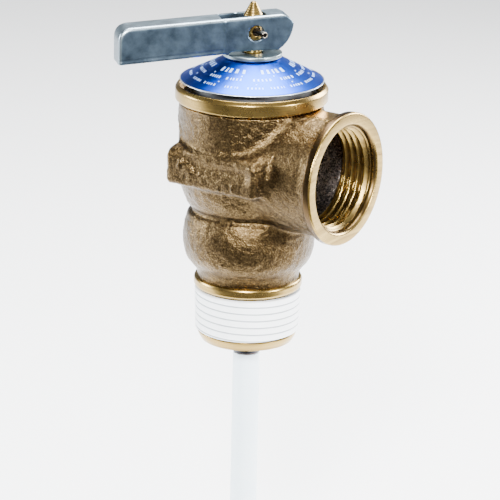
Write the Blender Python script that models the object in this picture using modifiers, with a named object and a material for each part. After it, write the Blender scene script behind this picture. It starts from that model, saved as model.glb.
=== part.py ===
"""Temperature and pressure relief valve for a water heater, 3/4-14 NPT in and out.

The frame: +Z runs up the spindle, +X out along the outlet, and the origin is the
centre of the inlet's end face. Lengths are in millimetres and heights are above
the origin, until MM turns them into Blender's metres. Pieces that touch keep GAP
between them.
"""

import math

import bmesh
import bpy

MM = 0.001
GAP = 0.3

# Pipe threads: 14 to the inch, on a taper of 1 in 16 across the diameter
PITCH = 25.4 / 14
TAPER = 1 / 32

# Inlet nipple and the sealant on its thread
NIPPLE_CORE_R = 12.1
NIPPLE_BORE_R = 9.8
NIPPLE_END_R = 11.6
SEALANT_R = 13.45
SEALANT_LOW = 2.7
SEALANT_HIGH = 13.6
SEALANT_TURNS = 6
SHOULDER_R = 13.7

# Casting
CAST_R = 18.1
WAIST_R = 15.1
BELLY_R = 16.65
NECK_R = 12.95
COLLAR_R = 19.05
LIP_TOP = 66.8
LIP_INNER_R = 16.2
POCKET_R = 17.0
LEDGE = 61.0
CHAMBER_R = 14.8
SEAT = 34.8
ORIFICE_R = 6.6
ROUND_STEPS = 36

# Wrench pads: a flat on each side, along the outlet
PAD_DISTANCE = 19.5
PAD_LOW = 42.9
PAD_HIGH = 52.1
PAD_TOP = 53.4
PAD_TOP_WIDTH = 25.0
PAD_START = -12.3
PAD_END = 14.7

# Outlet
OUTLET_HEIGHT = 47.0
OUTLET_FACE = 28.9
OUTLET_RIM_R = 16.64
OUTLET_RIM_WIDTH = 2.5
BOSS_R = 15.5
MOUTH_R = 13.78
FEMALE_MINOR_R = 12.3
FEMALE_DEPTH = 0.9
FEMALE_TURNS = 5
PASSAGE_R = 12.0

# Bonnet and name plate
FLANGE_LOW = 62.4
FLANGE_HIGH = 64.0
BONNET_TOP = 71.8
BONNET_WALL = 1.4
PLATE_TOP = 73.4
PLATE_FLAT_R = 7.0
PLATE_RIM_R = 18.04
PLATE_RIM = 67.67
PLATE_WALL = 0.5
PLATE_HOLE_R = 2.8
BUSH_R = 3.6

# Spindle, its pin and the washer that the lever bears on
SPINDLE_R = 2.2
SPINDLE_TOP = 87.35
CONE_BASE = 84.0
CONE_BASE_R = 2.25
CONE_TIP_R = 0.66
STUD_R = 1.7
STUD_END = 31.0
SHOULDER_HEIGHT = 43.7
PIN_HEIGHT = 80.1
PIN_R = 0.8
PIN_LENGTH = 12.4
PIN_SKEW = 14.7
WASHER_R = 7.35
WASHER_LOW = 73.7
WASHER_HIGH = 74.7

# Lever, in its own frame: the pin at the origin, +X towards the tip
LEVER_HEADING = -131.3
LEVER_TIP = 34.4
LEVER_WIDTH = 7.4
LEVER_SHEET = 1.3
WEB_HEIGHT = 4.2
WEB_DROOP = math.tan(math.radians(3.3))
TIP_CORNER_R = 3.5
CHEEK_LOW = -4.45
CAM_START = PIN_HEIGHT - WASHER_HIGH
CAM_RISE = 2.75
CAM_CLEARANCE = 0.25
PIN_HOLE_R = 1.9

# Disc stack that closes the seat, and the spring above it
HOLDER_R = 9.2
HOLDER_HUB_R = 5.4
SPRING_FLOOR = 41.7
DISC_R = 8.4
RETAINER_R = 5.8
NUT_CORNER_R = 3.5
SPRING_R = 7.0
SPRING_WIRE_R = 1.2
SPRING_TURNS = 6.5
CLOSED_PITCH = 2.7

# Thermostat: probe, wax and push rod
PROBE_END = -101.6
COATING_R = 3.42
COATING_TOP = -4.0
TUBE_R = 2.5
TUBE_BORE_R = 1.9
TUBE_TOP = 20.0
FERRULE_R = 3.5
FERRULE_TOP = 1.0
WAX_TOP = 8.0
PLUG_TOP = 11.3
ROD_R = 1.2
ROD_TOP = 30.0
SPIDER_TOP = 6.0


def clear_scene():
    for old in list(bpy.data.objects):
        bpy.data.objects.remove(old)


def new_collection(name):
    made = bpy.data.collections.new(name)
    bpy.context.scene.collection.children.link(made)
    return made


def finish(name, rgb, roughness, metallic):
    """A plain material for one kind of stock."""
    material = bpy.data.materials.new(name)
    material.use_nodes = True
    shader = material.node_tree.nodes["Principled BSDF"]
    shader.inputs["Base Color"].default_value = (*rgb, 1)
    shader.inputs["Roughness"].default_value = roughness
    shader.inputs["Metallic"].default_value = metallic
    material.diffuse_color = (*rgb, 1)
    return material


clear_scene()
VALVE = new_collection("pressure_relief_valve")
CUTTERS = new_collection("cutters")
BRONZE = finish("cast_bronze", (0.42, 0.30, 0.17), 0.45, 1.0)
BRASS = finish("turned_brass", (0.75, 0.60, 0.32), 0.25, 1.0)
ZINC = finish("zinc_plated_steel", (0.55, 0.60, 0.65), 0.35, 1.0)
STEEL = finish("stainless_steel", (0.62, 0.62, 0.62), 0.30, 1.0)
COPPER = finish("copper", (0.75, 0.42, 0.28), 0.35, 1.0)
BLUE = finish("blue_aluminium", (0.03, 0.20, 0.75), 0.40, 0.3)
WHITE = finish("white_coating", (0.90, 0.93, 0.95), 0.50, 0.0)
RUBBER = finish("black_rubber", (0.02, 0.02, 0.02), 0.80, 0.0)
SILICONE = finish("red_silicone", (0.55, 0.12, 0.08), 0.60, 0.0)
WAX = finish("expansion_wax", (0.80, 0.70, 0.45), 0.60, 0.0)


def place(made, material, cutter=False):
    """Links an object as a piece of the valve, or as a hidden cutter."""
    (CUTTERS if cutter else VALVE).objects.link(made)
    made.data.materials.append(material)
    if cutter:
        made.hide_render = True
        made.display_type = "WIRE"
    return made


def turned(name, profile, material, steps=24, cutter=False, flats=False):
    """A profile of (radius, height) turned about Z.

    It runs down the outer side and back up any bore. Two points in a row on the
    axis aren't joined, so a solid starts and ends there and a blind tube crosses
    it once. With flats, the steps are the flat sides of a nut.
    """
    count = len(profile)
    edges = []
    for start in range(count):
        end = (start + 1) % count
        if profile[start][0] > 0 or profile[end][0] > 0:
            edges.append((start, end))
    mesh = bpy.data.meshes.new(name)
    mesh.from_pydata([(r * MM, 0, z * MM) for r, z in profile], edges, [])
    made = place(bpy.data.objects.new(name, mesh), material, cutter)
    screw = made.modifiers.new("turn", "SCREW")
    screw.steps = steps
    screw.render_steps = steps
    screw.use_merge_vertices = True
    screw.merge_threshold = 0.00001
    screw.use_smooth_shade = not flats
    return made


def sleeve(name, outer, inner, low, high, material, steps=24):
    profile = [(outer, high), (outer, low), (inner, low), (inner, high)]
    return turned(name, profile, material, steps)


def cylinder(name, radius, low, high, material, steps=20, cutter=False):
    profile = [(0, high), (radius, high), (radius, low), (0, low)]
    return turned(name, profile, material, steps, cutter)


def ridges(radius, high, turns, depth):
    """Zigzag of a thread's ridges, running down from a height on the pipe taper."""
    points = []
    for half_turn in range(2 * turns + 1):
        run = half_turn * PITCH / 2
        cut = depth * (half_turn % 2)
        points.append((radius - TAPER * run - cut, high - run))
    return points


def arc(centre, radius, start, end, count):
    """Points on an arc in X and Z, with its angles in degrees."""
    x, z = centre
    turns = [math.radians(start + (end - start) * k / count) for k in range(count + 1)]
    return [(x + radius * math.cos(a), z + radius * math.sin(a)) for a in turns]


def outline_plate(name, outline, width, material, cutter=False):
    """A flat outline in X and Z, with its thickness along Y."""
    curve = bpy.data.curves.new(name, "CURVE")
    curve.dimensions = "2D"
    curve.fill_mode = "BOTH"
    curve.extrude = width / 2 * MM
    spline = curve.splines.new("POLY")
    spline.points.add(len(outline) - 1)
    for point, (x, z) in zip(spline.points, outline):
        point.co = (x * MM, z * MM, 0, 1)
    spline.use_cyclic_u = True
    flat = bpy.data.objects.new(name + "_outline", curve)
    bpy.context.scene.collection.objects.link(flat)
    bpy.context.view_layer.update()
    graph = bpy.context.evaluated_depsgraph_get()
    mesh = bpy.data.meshes.new_from_object(flat.evaluated_get(graph))
    bpy.data.objects.remove(flat)
    shape = bmesh.new()
    shape.from_mesh(mesh)
    bmesh.ops.remove_doubles(shape, verts=shape.verts, dist=0.000001)
    # The curve lies in X and Y, so it is stood up into X and Z.
    for vertex in shape.verts:
        x, y, z = vertex.co
        vertex.co = (x, -z, y)
    shape.to_mesh(mesh)
    shape.free()
    mesh.name = name
    mesh.materials.clear()
    return place(bpy.data.objects.new(name, mesh), material, cutter)


def bar(name, low, high, material, cutter=False):
    """A square bar between two corners."""
    shape = bmesh.new()
    bmesh.ops.create_cube(shape, size=1)
    for vertex in shape.verts:
        ends = zip(vertex.co, low, high)
        vertex.co = [(start if side < 0 else end) * MM for side, start, end in ends]
    mesh = bpy.data.meshes.new(name)
    shape.to_mesh(mesh)
    shape.free()
    return place(bpy.data.objects.new(name, mesh), material, cutter)


def boolean(target, other, operation):
    modifier = target.modifiers.new(operation.lower(), "BOOLEAN")
    modifier.operation = operation
    modifier.object = other
    modifier.solver = "EXACT"


def axis_empty(name, height, heading, parent=None):
    """An empty on a joint's axis, which carries the pieces that move on it."""
    made = bpy.data.objects.new(name, None)
    VALVE.objects.link(made)
    made.location = (0, 0, height * MM)
    made.rotation_euler = (0, 0, math.radians(heading))
    made.parent = parent
    return made


def lay_along_outlet(piece):
    """Turns a piece made about Z so that it lies along the outlet's axis."""
    piece.rotation_euler = (0, math.pi / 2, 0)
    piece.location = (0, 0, OUTLET_HEIGHT * MM)


def lay_across_lever(piece, skew=0):
    """Turns a piece made about Z to lie across the lever, skewed by some degrees."""
    piece.rotation_euler = (math.pi / 2, 0, math.radians(skew))


def make_valve_body():
    """The bronze casting: nipple, belly, wrench pads, collar and outlet boss."""
    outside = [
        (0, LIP_TOP),
        (17.0, LIP_TOP),
        (18.2, LIP_TOP - 0.4),
        (COLLAR_R, LIP_TOP - 1.3),
        (COLLAR_R, 63.0),
        (CAST_R, 62.7),
        (CAST_R, 42.0),
        (17.2, 39.6),
        (16.6, 37.8),
        (WAIST_R, 35.4),
        (WAIST_R, 34.8),
        (16.2, 33.2),
        (BELLY_R, 31.0),
        (BELLY_R, 24.0),
        (16.1, 22.2),
        (15.0, 20.7),
        (13.6, 19.3),
        (NECK_R, 18.3),
        (NECK_R, 17.3),
        (SHOULDER_R, 16.4),
        (SHOULDER_R, 14.4),
        (13.3, 14.0),
        (NIPPLE_CORE_R, SEALANT_HIGH + GAP),
        (NIPPLE_CORE_R, SEALANT_LOW - GAP),
        (12.7, SEALANT_LOW - GAP),
        (NIPPLE_END_R, 0),
        (0, 0),
    ]
    body = turned("valve_body", outside, BRONZE, ROUND_STEPS)
    for part in (wrench_pads(), outlet_boss()):
        boolean(body, part, "UNION")
    for part in (inside_of_body(), outlet_bore()):
        boolean(body, part, "DIFFERENCE")
    return body


def wrench_pads():
    """A bar across the body whose two ends are the wrench flats."""
    half = PAD_TOP_WIDTH / 2
    outline = [
        (-PAD_DISTANCE, PAD_LOW),
        (PAD_DISTANCE, PAD_LOW),
        (PAD_DISTANCE, PAD_HIGH),
        (half, PAD_TOP),
        (-half, PAD_TOP),
        (-PAD_DISTANCE, PAD_HIGH),
    ]
    pads = outline_plate("wrench_pads", outline, PAD_END - PAD_START, BRONZE, cutter=True)
    pads.rotation_euler = (0, 0, math.pi / 2)
    pads.location = ((PAD_START + PAD_END) / 2 * MM, 0, 0)
    return pads


def outlet_boss():
    rim_back = OUTLET_FACE - OUTLET_RIM_WIDTH
    profile = [
        (0, OUTLET_FACE),
        (OUTLET_RIM_R - 0.3, OUTLET_FACE),
        (OUTLET_RIM_R, OUTLET_FACE - 0.3),
        (OUTLET_RIM_R, rim_back),
        (BOSS_R + 0.4, rim_back - 0.4),
        (BOSS_R, rim_back - 2.0),
        (BOSS_R, 5.0),
        (0, 5.0),
    ]
    boss = turned("outlet_boss", profile, BRONZE, ROUND_STEPS, cutter=True)
    lay_along_outlet(boss)
    return boss


def inside_of_body():
    """The chamber, the seat's ring, the inlet waterway and the nipple's bore."""
    profile = [
        (0, LIP_TOP + 1),
        (LIP_INNER_R, LIP_TOP + 1),
        (LIP_INNER_R, FLANGE_HIGH + GAP),
        (POCKET_R, FLANGE_HIGH + GAP),
        (POCKET_R, LEDGE),
        (CHAMBER_R, LEDGE),
        (CHAMBER_R, 40.5),
        (12.2, 37.0),
        (12.2, 33.6),
        (8.2, 33.6),
        (7.8, SEAT),
        (ORIFICE_R, SEAT),
        (ORIFICE_R, 31.0),
        (9.5, 31.0),
        (13.0, 29.5),
        (13.0, 22.0),
        (NIPPLE_BORE_R, 18.5),
        (NIPPLE_BORE_R, 1.2),
        (NIPPLE_BORE_R + 0.8, -0.5),
        (0, -0.5),
    ]
    return turned("inside", profile, BRONZE, ROUND_STEPS, cutter=True)


def outlet_bore():
    threads = ridges(
        FEMALE_MINOR_R + FEMALE_DEPTH, OUTLET_FACE - 1.2, FEMALE_TURNS, FEMALE_DEPTH
    )
    profile = [
        (0, OUTLET_FACE + 1),
        (MOUTH_R + 0.5, OUTLET_FACE + 1),
        (MOUTH_R, OUTLET_FACE),
        *threads,
        (PASSAGE_R, threads[-1][1] - 0.8),
        (PASSAGE_R, 5.5),
        (0, 5.5),
    ]
    bore = turned("outlet_bore", profile, BRONZE, ROUND_STEPS, cutter=True)
    lay_along_outlet(bore)
    return bore


def make_sealant():
    """White sealant moulded over the male thread, ridged like the thread."""
    profile = [
        *ridges(SEALANT_R, SEALANT_HIGH, SEALANT_TURNS, 0.25),
        (NIPPLE_CORE_R + GAP, SEALANT_HIGH - SEALANT_TURNS * PITCH),
        (NIPPLE_CORE_R + GAP, SEALANT_HIGH),
    ]
    turned("thread_sealant", profile, WHITE, 32)


def make_bonnet():
    """The pressed dome held under the rolled lip, its gasket and the spindle's bush."""
    underside = BONNET_TOP - BONNET_WALL
    profile = [
        (8.4, BONNET_TOP),
        (14.4, 68.2),
        (15.2, FLANGE_HIGH),
        (POCKET_R - GAP, FLANGE_HIGH),
        (POCKET_R - GAP, FLANGE_LOW),
        (13.9, FLANGE_LOW),
        (13.2, 67.3),
        (8.6, underside),
        (BUSH_R + GAP, underside),
        (BUSH_R + GAP, BONNET_TOP),
    ]
    turned("bonnet_plate", profile, ZINC, 32)
    gasket_high = FLANGE_LOW - GAP
    sleeve("bonnet_gasket", POCKET_R - GAP, 15.0, LEDGE + GAP, gasket_high, RUBBER, 32)
    flange_top = underside - GAP
    bush = [
        (BUSH_R, PLATE_TOP - PLATE_WALL - GAP),
        (BUSH_R, flange_top),
        (5.2, flange_top),
        (5.2, flange_top - 1.2),
        (BUSH_R, flange_top - 1.2),
        (BUSH_R, 66.5),
        (SPINDLE_R + GAP, 66.5),
        (SPINDLE_R + GAP, PLATE_TOP - PLATE_WALL - GAP),
    ]
    turned("spindle_bush", bush, BRASS)


def make_name_plate():
    """The blue conical plate over the bonnet, its rim rolled over."""
    slope = (PLATE_TOP - PLATE_RIM) / (PLATE_RIM_R - PLATE_FLAT_R)
    roll_r = PLATE_RIM_R - 0.9
    roll = PLATE_TOP - (roll_r - PLATE_FLAT_R) * slope
    profile = [
        (PLATE_FLAT_R, PLATE_TOP),
        (roll_r, roll),
        (PLATE_RIM_R, PLATE_RIM + 0.4),
        (PLATE_RIM_R, PLATE_RIM),
        (PLATE_RIM_R - PLATE_WALL, PLATE_RIM),
        (roll_r - 0.3, roll - PLATE_WALL),
        (PLATE_FLAT_R, PLATE_TOP - PLATE_WALL),
        (PLATE_HOLE_R, PLATE_TOP - PLATE_WALL),
        (PLATE_HOLE_R, PLATE_TOP),
    ]
    turned("name_plate", profile, BLUE, ROUND_STEPS)


def make_spindle(swivel, pivot):
    """The cone-topped spindle, cross drilled for the split pin that carries the lever.

    The pin lies skewed, as loose as its holes in the lever let it.
    """
    profile = [
        (0, SPINDLE_TOP),
        (CONE_TIP_R, SPINDLE_TOP),
        (CONE_BASE_R, CONE_BASE),
        (SPINDLE_R, CONE_BASE - 0.4),
        (SPINDLE_R, SHOULDER_HEIGHT + GAP),
        (STUD_R, SHOULDER_HEIGHT + GAP),
        (STUD_R, STUD_END),
        (0, STUD_END),
    ]
    spindle = turned("spindle", profile, BRASS)
    spindle.parent = swivel
    drill_r = PIN_R + GAP
    drill = cylinder("pin_drill", drill_r, -5, 5, BRASS, 16, cutter=True)
    pin = sleeve(
        "lever_pin", PIN_R, PIN_R / 2, -PIN_LENGTH / 2, PIN_LENGTH / 2, STEEL, 16
    )
    for piece in (drill, pin):
        piece.parent = pivot
        lay_across_lever(piece, PIN_SKEW)
    boolean(spindle, drill, "DIFFERENCE")


def make_washer(swivel):
    inner = SPINDLE_R + 0.7
    washer = sleeve("lever_washer", WASHER_R, inner, WASHER_LOW, WASHER_HIGH, ZINC, 32)
    washer.parent = swivel


def web_top(x):
    """Height of the lever's web above the pin, falling towards the tip."""
    return WEB_HEIGHT - WEB_DROOP * x


def cam_points(first, last, count):
    """The lever's rear edge, an involute that lifts the pin evenly as it rolls.

    Raised by an angle, the edge reaches CAM_START + CAM_RISE * angle below the pin,
    less the clearance, and touches the washer CAM_RISE behind it.
    """
    points = []
    for k in range(count + 1):
        angle = math.radians(first + (last - first) * k / count)
        reach = CAM_START + CAM_RISE * angle - CAM_CLEARANCE
        x = -reach * math.sin(angle) - CAM_RISE * math.cos(angle)
        z = -reach * math.cos(angle) + CAM_RISE * math.sin(angle)
        points.append((x, z))
    return points


def lever_outline():
    """The cheek's outline: cam at the rear, straight foot, blunt tip with a round top."""
    corner_x = LEVER_TIP - TIP_CORNER_R
    corner = (corner_x, web_top(corner_x) - TIP_CORNER_R)
    return [
        *reversed(cam_points(30, 80, 8)),
        (6.1, CHEEK_LOW),
        (6.9, CHEEK_LOW - 0.55),
        (LEVER_TIP, CHEEK_LOW - 2.45),
        *arc(corner, TIP_CORNER_R, 0, 87, 6),
        (-6.6, web_top(-6.6)),
        (-8.4, web_top(-8.4) - 1.0),
        (-9.5, 2.3),
    ]


def channel_outline():
    """The space between the cheeks, with the slot through the web for the spindle."""
    wall_x = LEVER_TIP - LEVER_SHEET
    inner_r = TIP_CORNER_R - LEVER_SHEET
    corner_x = wall_x - inner_r
    corner = (corner_x, web_top(corner_x) - LEVER_SHEET - inner_r)
    slot_front = 8.5
    slot_rear = -2.7
    above = WEB_HEIGHT + 2
    return [
        (-12, -9),
        (wall_x, -9),
        *arc(corner, inner_r, 0, 87, 5),
        (slot_front, web_top(slot_front) - LEVER_SHEET),
        (slot_front, above),
        (slot_rear, above),
        (slot_rear, web_top(slot_rear) - LEVER_SHEET),
        (-12, web_top(-12) - LEVER_SHEET),
    ]


def make_lever(pivot):
    """The pressed channel: a web, two cheeks with a cam at the rear, and a closed tip."""
    lever = outline_plate("lever", lever_outline(), LEVER_WIDTH, ZINC)
    inner_width = LEVER_WIDTH - 2 * LEVER_SHEET
    channel = outline_plate("lever_channel", channel_outline(), inner_width, ZINC, cutter=True)
    hole = cylinder("lever_pin_hole", PIN_HOLE_R, -6, 6, ZINC, 24, cutter=True)
    lay_across_lever(hole)
    for piece in (lever, channel, hole):
        piece.parent = pivot
    boolean(lever, channel, "DIFFERENCE")
    boolean(lever, hole, "DIFFERENCE")


def make_disc(swivel):
    """What the spindle lifts off the seat: holder, soft disc, retainer and nut."""
    hole = STUD_R + GAP
    disc_low = SEAT + GAP
    disc_high = disc_low + 2.2
    holder = [
        (HOLDER_HUB_R, SHOULDER_HEIGHT),
        (HOLDER_HUB_R, SPRING_FLOOR),
        (HOLDER_R, SPRING_FLOOR),
        (HOLDER_R, disc_low + 1.1),
        (DISC_R + GAP, disc_low + 1.1),
        (DISC_R + GAP, disc_high + GAP),
        (hole, disc_high + GAP),
        (hole, SHOULDER_HEIGHT),
    ]
    pieces = [
        turned("disc_holder", holder, BRASS, 28),
        sleeve("seat_disc", DISC_R, hole, disc_low, disc_high, SILICONE, 28),
        sleeve("disc_retainer", RETAINER_R, hole, disc_low - 1.3, disc_low - GAP, STEEL),
    ]
    nut_high = disc_low - 1.6
    nut_profile = [
        (NUT_CORNER_R, nut_high),
        (NUT_CORNER_R, nut_high - 2.0),
        (hole, nut_high - 2.0),
        (hole, nut_high),
    ]
    pieces.append(turned("disc_nut", nut_profile, BRASS, 6, flats=True))
    for piece in pieces:
        piece.parent = swivel


def spring_climb(turn):
    """Height of the wire above its first coil: closed end coils, open between them."""
    rise = BONNET_TOP - BONNET_WALL - SPRING_FLOOR - 2 * GAP - 2 * SPRING_WIRE_R
    open_pitch = (rise - 2 * CLOSED_PITCH) / (SPRING_TURNS - 2)
    lower = min(turn, 1)
    upper = max(turn - SPRING_TURNS + 1, 0)
    return (lower + upper) * CLOSED_PITCH + (turn - lower - upper) * open_pitch


def make_spring():
    """The coil spring between the disc holder and the bonnet."""
    per_turn = 14
    count = int(SPRING_TURNS * per_turn)
    curve = bpy.data.curves.new("main_spring", "CURVE")
    curve.dimensions = "3D"
    curve.bevel_depth = SPRING_WIRE_R * MM
    curve.bevel_resolution = 2
    curve.use_fill_caps = True
    spline = curve.splines.new("POLY")
    spline.points.add(count)
    foot = SPRING_FLOOR + GAP + SPRING_WIRE_R
    for k, point in enumerate(spline.points):
        turn = k / per_turn
        angle = 2 * math.pi * turn
        x = SPRING_R * math.cos(angle)
        y = SPRING_R * math.sin(angle)
        point.co = (x * MM, y * MM, (foot + spring_climb(turn)) * MM, 1)
    place(bpy.data.objects.new("main_spring", curve), STEEL)


def blind_tube(name, outer, inner, end, high, material):
    """A tube with a rounded, closed lower end, as thick there as its wall."""
    wall = outer - inner
    outside = [
        (outer, high),
        (outer, end + outer * 0.8),
        (outer * 0.75, end + outer * 0.25),
        (0, end),
    ]
    inside = [
        (0, end + wall),
        (inner * 0.75, end + wall + inner * 0.25),
        (inner, end + wall + inner * 0.8),
        (inner, high),
    ]
    return turned(name, outside + inside, material, 20)


def make_probe():
    """The thermostat: coated copper tube of wax, with a plug and a rod above the wax."""
    coating_bore = TUBE_R + GAP
    blind_tube("probe_coating", COATING_R, coating_bore, PROBE_END, COATING_TOP, WHITE)
    tube_end = PROBE_END + COATING_R - coating_bore + GAP
    blind_tube("probe_tube", TUBE_R, TUBE_BORE_R, tube_end, TUBE_TOP, COPPER)
    sleeve(
        "probe_ferrule", FERRULE_R, coating_bore, COATING_TOP + GAP, FERRULE_TOP, STEEL, 20
    )
    content_r = TUBE_BORE_R - GAP
    wax_low = tube_end + 2 * TUBE_R
    cylinder("wax_charge", content_r, wax_low, WAX_TOP, WAX, 16)
    cylinder("wax_seal_plug", content_r, WAX_TOP + GAP, PLUG_TOP, RUBBER, 16)
    cylinder("push_rod", ROD_R, PLUG_TOP + GAP, ROD_TOP, STEEL, 16)
    guide = [
        (3.3, TUBE_TOP + 3),
        (3.3, TUBE_TOP - 2.5),
        (coating_bore, TUBE_TOP - 2.5),
        (coating_bore, TUBE_TOP + GAP),
        (ROD_R + GAP, TUBE_TOP + GAP),
        (ROD_R + GAP, TUBE_TOP + 3),
    ]
    turned("rod_guide_bush", guide, BRASS, 20)


def make_bracket():
    """The three-armed spider that centres the probe in the nipple."""
    low = FERRULE_TOP + GAP
    bracket = sleeve("thermostat_bracket", 4.6, TUBE_R + GAP, low, SPIDER_TOP, BRASS)
    for k in range(3):
        arm_low = (4.0, -1.1, low + 0.7)
        arm_high = (12.0, 1.1, SPIDER_TOP - 0.7)
        arm = bar(f"bracket_arm_{k + 1}", arm_low, arm_high, BRASS, cutter=True)
        arm.rotation_euler = (0, 0, math.radians(60 + 120 * k))
        boolean(bracket, arm, "UNION")
    trim = cylinder("bracket_trim", NIPPLE_BORE_R - GAP, 0, 10, BRASS, 32, cutter=True)
    boolean(bracket, trim, "INTERSECT")


def main():
    swivel = axis_empty("spindle_axis", 0, LEVER_HEADING)
    pivot = axis_empty("pin_axis", PIN_HEIGHT, 0, swivel)
    make_valve_body()
    make_sealant()
    make_bonnet()
    make_name_plate()
    make_spindle(swivel, pivot)
    make_washer(swivel)
    make_lever(pivot)
    make_disc(swivel)
    make_spring()
    make_probe()
    make_bracket()


main()
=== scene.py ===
# %% [markdown]
# # A temperature and pressure relief valve
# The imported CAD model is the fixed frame: it says where every piece is and what moves.
# This lesson builds the surfaces that the eye sees round it. Each piece is worked out
# with numpy as one array of points, in millimetres, and becomes a mesh in metres.

# %% Load the frame
import math

import bpy
import numpy as np
from mathutils import Matrix, Vector


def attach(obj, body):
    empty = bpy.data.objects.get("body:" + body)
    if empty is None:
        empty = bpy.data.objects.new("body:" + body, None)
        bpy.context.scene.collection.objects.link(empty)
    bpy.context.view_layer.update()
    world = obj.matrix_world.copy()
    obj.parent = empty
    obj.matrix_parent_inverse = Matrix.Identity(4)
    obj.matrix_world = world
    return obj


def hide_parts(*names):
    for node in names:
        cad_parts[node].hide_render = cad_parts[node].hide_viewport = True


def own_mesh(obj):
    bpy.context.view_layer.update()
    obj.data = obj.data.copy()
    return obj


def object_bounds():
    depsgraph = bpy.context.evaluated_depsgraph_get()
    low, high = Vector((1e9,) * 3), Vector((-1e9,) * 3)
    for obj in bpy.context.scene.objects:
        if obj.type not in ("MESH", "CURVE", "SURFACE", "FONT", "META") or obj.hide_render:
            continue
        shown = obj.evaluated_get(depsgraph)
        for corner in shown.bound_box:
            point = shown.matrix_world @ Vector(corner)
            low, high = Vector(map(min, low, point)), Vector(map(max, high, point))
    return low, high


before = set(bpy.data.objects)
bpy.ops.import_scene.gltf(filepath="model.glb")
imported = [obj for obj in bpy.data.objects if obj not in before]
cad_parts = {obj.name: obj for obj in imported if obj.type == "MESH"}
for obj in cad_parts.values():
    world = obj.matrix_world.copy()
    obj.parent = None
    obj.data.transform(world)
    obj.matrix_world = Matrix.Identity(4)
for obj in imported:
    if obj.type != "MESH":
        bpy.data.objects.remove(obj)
cad_low, cad_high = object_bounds()
MM = 0.001
print("CAD box, mm:", [round(c / MM, 1) for c in (*cad_low, *cad_high)])

# %% [markdown]
# ## Camera and studio
# A long lens from three quarters of a metre keeps the valve's circles nearly true, as in
# a catalogue picture. The floor is one pale sheet that curves up behind the valve, so no
# horizon shows. Five soft lamps light it: a small bright key near the camera, which puts
# the sparkle on the belly, and four large ones round it for long, smooth highlights.

# %% Camera
CAMERA_AZIMUTH = math.radians(34.73)
CAMERA_ELEVATION = math.radians(17.92)
CAMERA_DISTANCE = 740.8
CAMERA_TARGET = Vector((0, 0, 23.04))
CAMERA_ROLL = 0.02102
CAMERA_LENS = 211.1
CAMERA_SHIFT = 0.0031


def aim(thing, location, target, roll=0.0):
    """Places a lamp or camera in millimetres and turns its -Z towards the target."""
    look = (Vector(target) - Vector(location)).to_track_quat("-Z", "Y").to_matrix().to_4x4()
    thing.matrix_world = (
        Matrix.Translation(Vector(location) * MM) @ look @ Matrix.Rotation(roll, 4, "Z")
    )


def make_camera():
    data = bpy.data.cameras.new("camera")
    data.lens = CAMERA_LENS
    data.sensor_width = 36
    data.shift_x = CAMERA_SHIFT
    data.clip_start = 0.01
    data.clip_end = 50
    camera = bpy.data.objects.new("camera", data)
    bpy.context.scene.collection.objects.link(camera)
    flat = math.cos(CAMERA_ELEVATION)
    back = Vector((
        math.sin(CAMERA_AZIMUTH) * flat,
        -math.cos(CAMERA_AZIMUTH) * flat,
        math.sin(CAMERA_ELEVATION),
    ))
    aim(camera, CAMERA_TARGET + back * CAMERA_DISTANCE, CAMERA_TARGET, CAMERA_ROLL)
    bpy.context.scene.camera = camera
    return camera


camera = make_camera()
print("camera at", [round(c / MM) for c in camera.location], "mm")

# %% Lamps and world
SCREEN_RIGHT = Vector((math.cos(CAMERA_AZIMUTH), math.sin(CAMERA_AZIMUTH), 0))
SCREEN_NEAR = Vector((math.sin(CAMERA_AZIMUTH), -math.cos(CAMERA_AZIMUTH), 0))


def lamp(name, right, near, up, size, watts, colour=(1, 1, 1)):
    """A square soft lamp, placed in millimetres from the valve."""
    data = bpy.data.lights.new(name, "AREA")
    data.size = size * MM
    data.energy = watts
    data.color = colour
    made = bpy.data.objects.new(name, data)
    bpy.context.scene.collection.objects.link(made)
    place = SCREEN_RIGHT * right + SCREEN_NEAR * near + Vector((0, 0, up))
    aim(made, place, (0, 0, 40))
    return made


lamp("key_lamp", -60, 640, 400, 95, 15.0)
lamp("left_lamp", -700, -120, 160, 260, 8.5, (0.93, 0.97, 1.0))
lamp("right_lamp", 560, 330, 190, 110, 8.0)
lamp("back_lamp", 500, -420, 260, 300, 12.0)
lamp("top_lamp", 40, -160, 700, 520, 30.0)

world = bpy.data.worlds.new("studio")
bpy.context.scene.world = world
world.use_nodes = True
world.node_tree.nodes["Background"].inputs["Color"].default_value = (0.95, 0.97, 1.0, 1)
world.node_tree.nodes["Background"].inputs["Strength"].default_value = 0.14
print("5 lamps")

# %% [markdown]
# ## Helpers for meshes
# Every surface here is a grid of points: rows along a profile, columns round or across.
# `grid_faces` joins the grid, and turns a quad that has shrunk at a pole into a triangle.

# %% Grids to meshes


def grid_faces(index):
    """Faces between the neighbouring rows and columns of an array of vertex numbers."""
    quads = np.stack(
        [index[:-1, :-1], index[1:, :-1], index[1:, 1:], index[:-1, 1:]], -1
    ).reshape(-1, 4)
    top = quads[:, 0] == quads[:, 3]
    low = quads[:, 1] == quads[:, 2]
    faces = quads[~top & ~low].tolist()
    faces += quads[top][:, [0, 1, 2]].tolist()
    faces += quads[low][:, [0, 1, 3]].tolist()
    return faces


def ring_closed(index):
    """The array with its first column and then its first row repeated at the end."""
    index = np.concatenate([index, index[:, :1]], 1)
    return np.concatenate([index, index[:1]], 0)


def outward(points, faces):
    """The same faces, turned round if the closed shape's signed volume is negative."""
    fans = [[f[0], f[k], f[k + 1]] for f in faces for k in range(1, len(f) - 1)]
    a, b, c = points[np.array(fans)].transpose(1, 0, 2)
    if np.einsum("ij,ij->i", a, np.cross(b, c)).sum() < 0:
        faces = [f[::-1] for f in faces]
    return faces


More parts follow.
